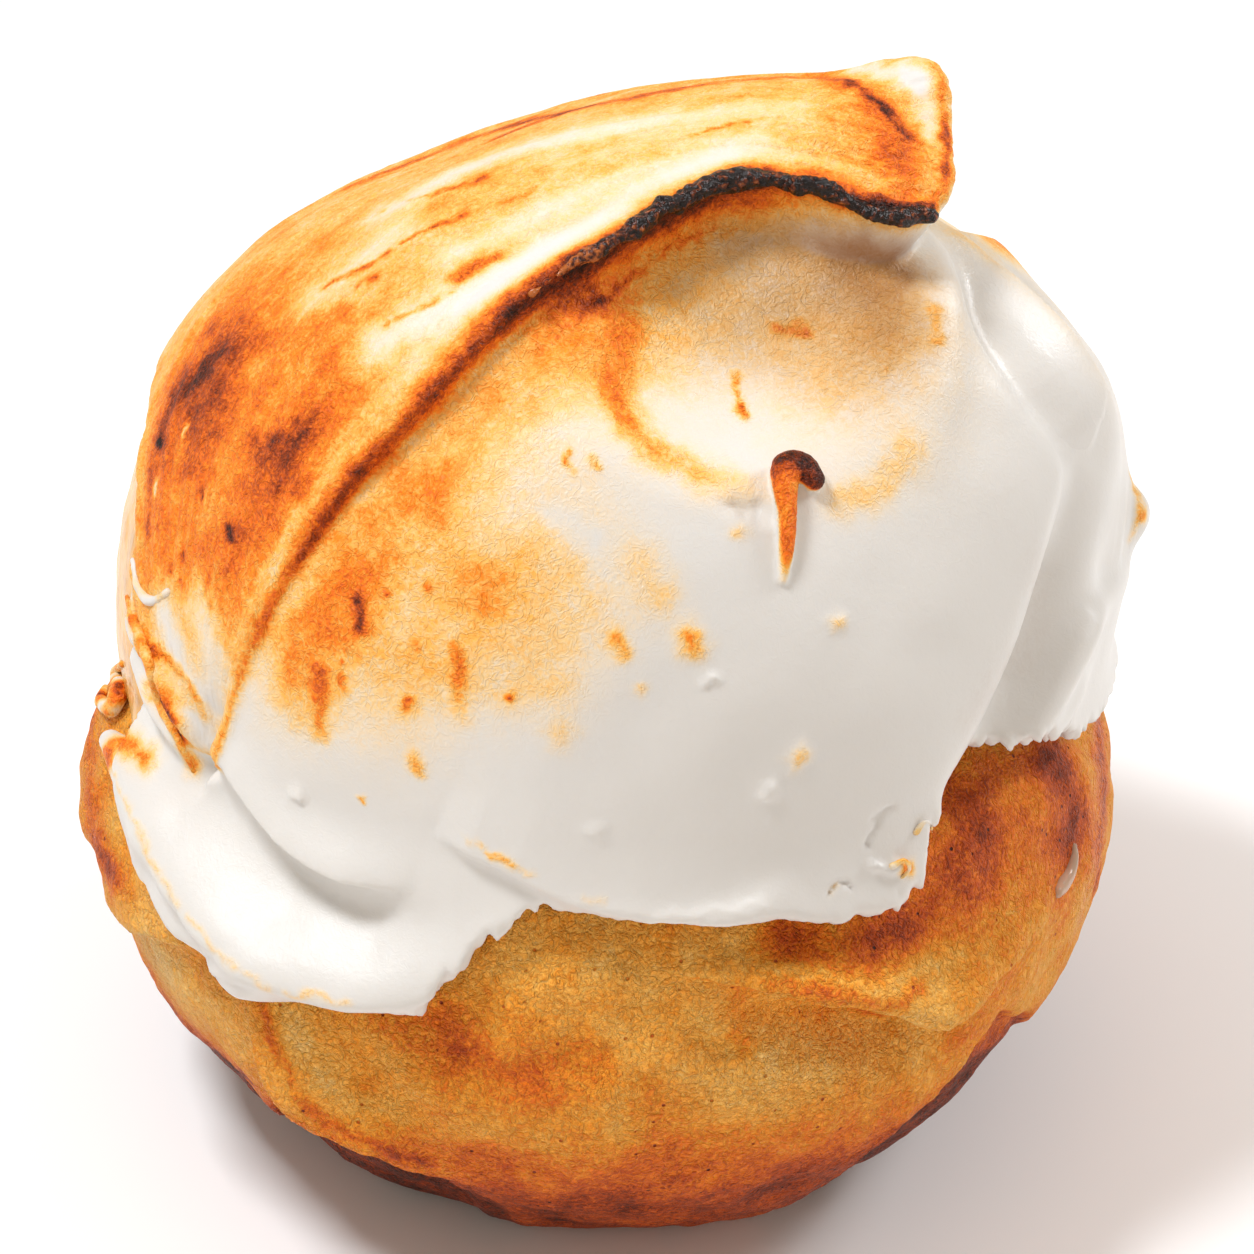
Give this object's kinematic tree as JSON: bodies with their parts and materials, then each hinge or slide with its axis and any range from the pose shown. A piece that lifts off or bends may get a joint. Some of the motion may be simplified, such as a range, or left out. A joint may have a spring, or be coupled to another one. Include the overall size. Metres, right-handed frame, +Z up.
{
  "type": "lemon meringue pie",
  "caption": "Small individual lemon meringue pie: rounded golden pastry crust, lemon filling bare at one side, thick spread meringue with a toasted lip that rises to a tip.",
  "frame": {"origin": "middle of the flat base on which the crust stands", "axes": "+Z up, the pictured front faces -Y, +X to the right of someone looking at that front"},
  "size_m": [0.0847, 0.0843, 0.0871],
  "materials": {
    "crust": "baked pastry, golden and granular, orange-brown to brown where it baked most",
    "lemon_filling": "set lemon curd, pale yellow and glossy",
    "meringue": "satin white egg-white foam, toasted cream, gold, brown and black along its ridges"
  },
  "bodies": {
    "root": {"crust": "crust", "lemon_filling": "lemon_filling", "meringue": "meringue"}
  },
  "joints": []
}
